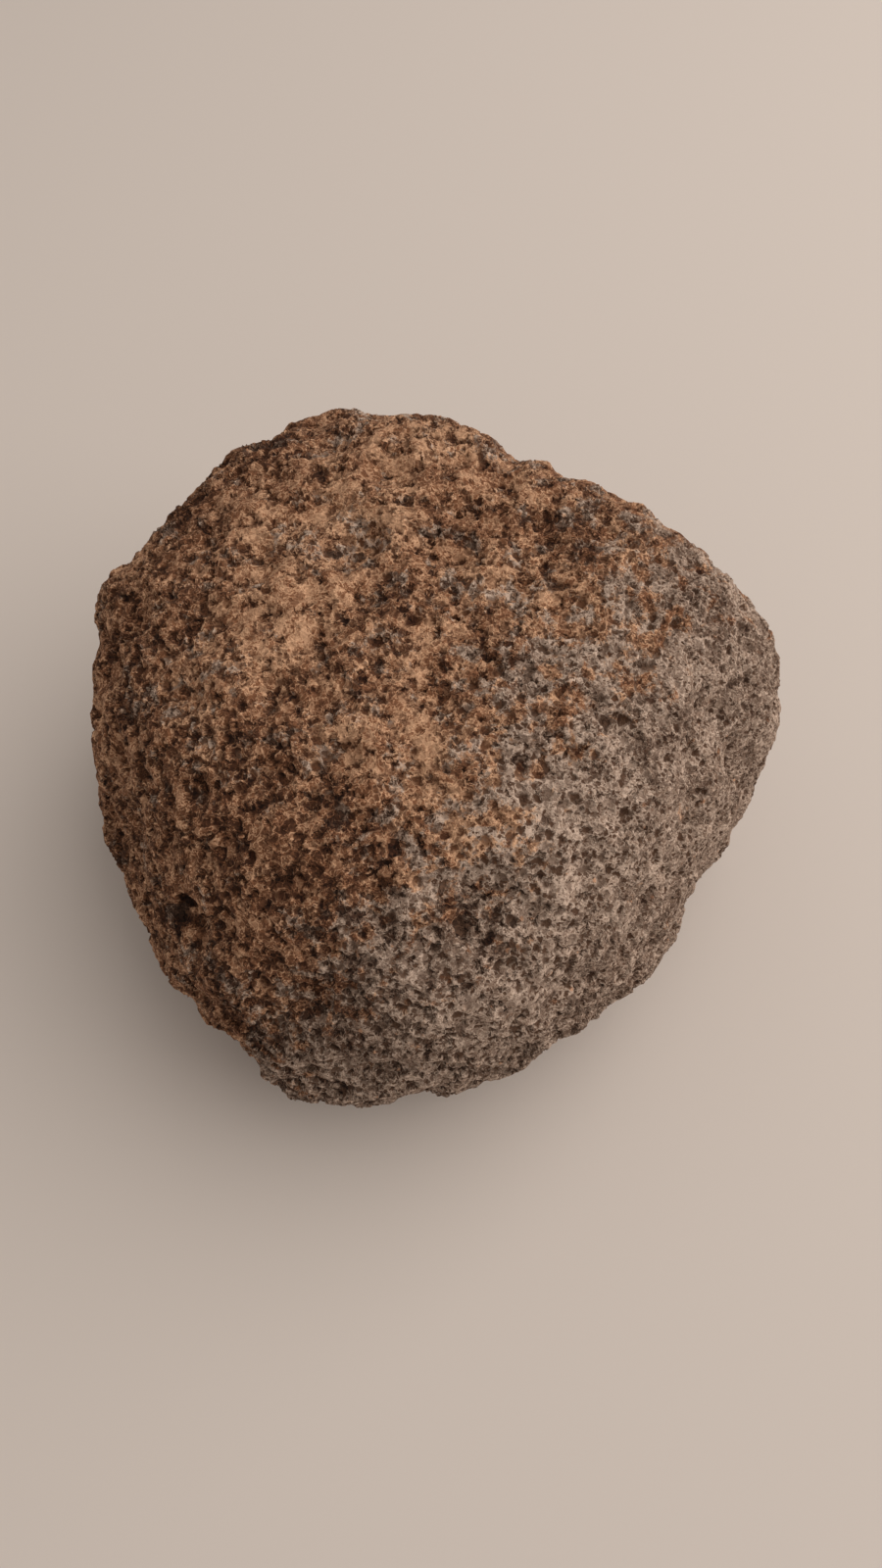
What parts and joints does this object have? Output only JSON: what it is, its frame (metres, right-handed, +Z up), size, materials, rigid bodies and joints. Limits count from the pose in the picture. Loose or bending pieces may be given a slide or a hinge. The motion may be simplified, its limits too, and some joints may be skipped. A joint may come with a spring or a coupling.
{
  "type": "meteorite",
  "caption": "Hand-sized, rounded and densely pitted stone that rests on its flattest side.",
  "frame": {"origin": "middle of the bounding box's underside, on the flat patch that the stone rests on", "axes": "+Z up from the resting face, through the stone's thinnest way; +X to its right and +Y to its back"},
  "size_m": [0.077, 0.078, 0.045],
  "materials": {
    "crust": "matte, rough grey-brown crust, pitted all over, with tan soil in its upper hollows"
  },
  "bodies": {
    "root": {"stone": "crust"}
  },
  "joints": []
}
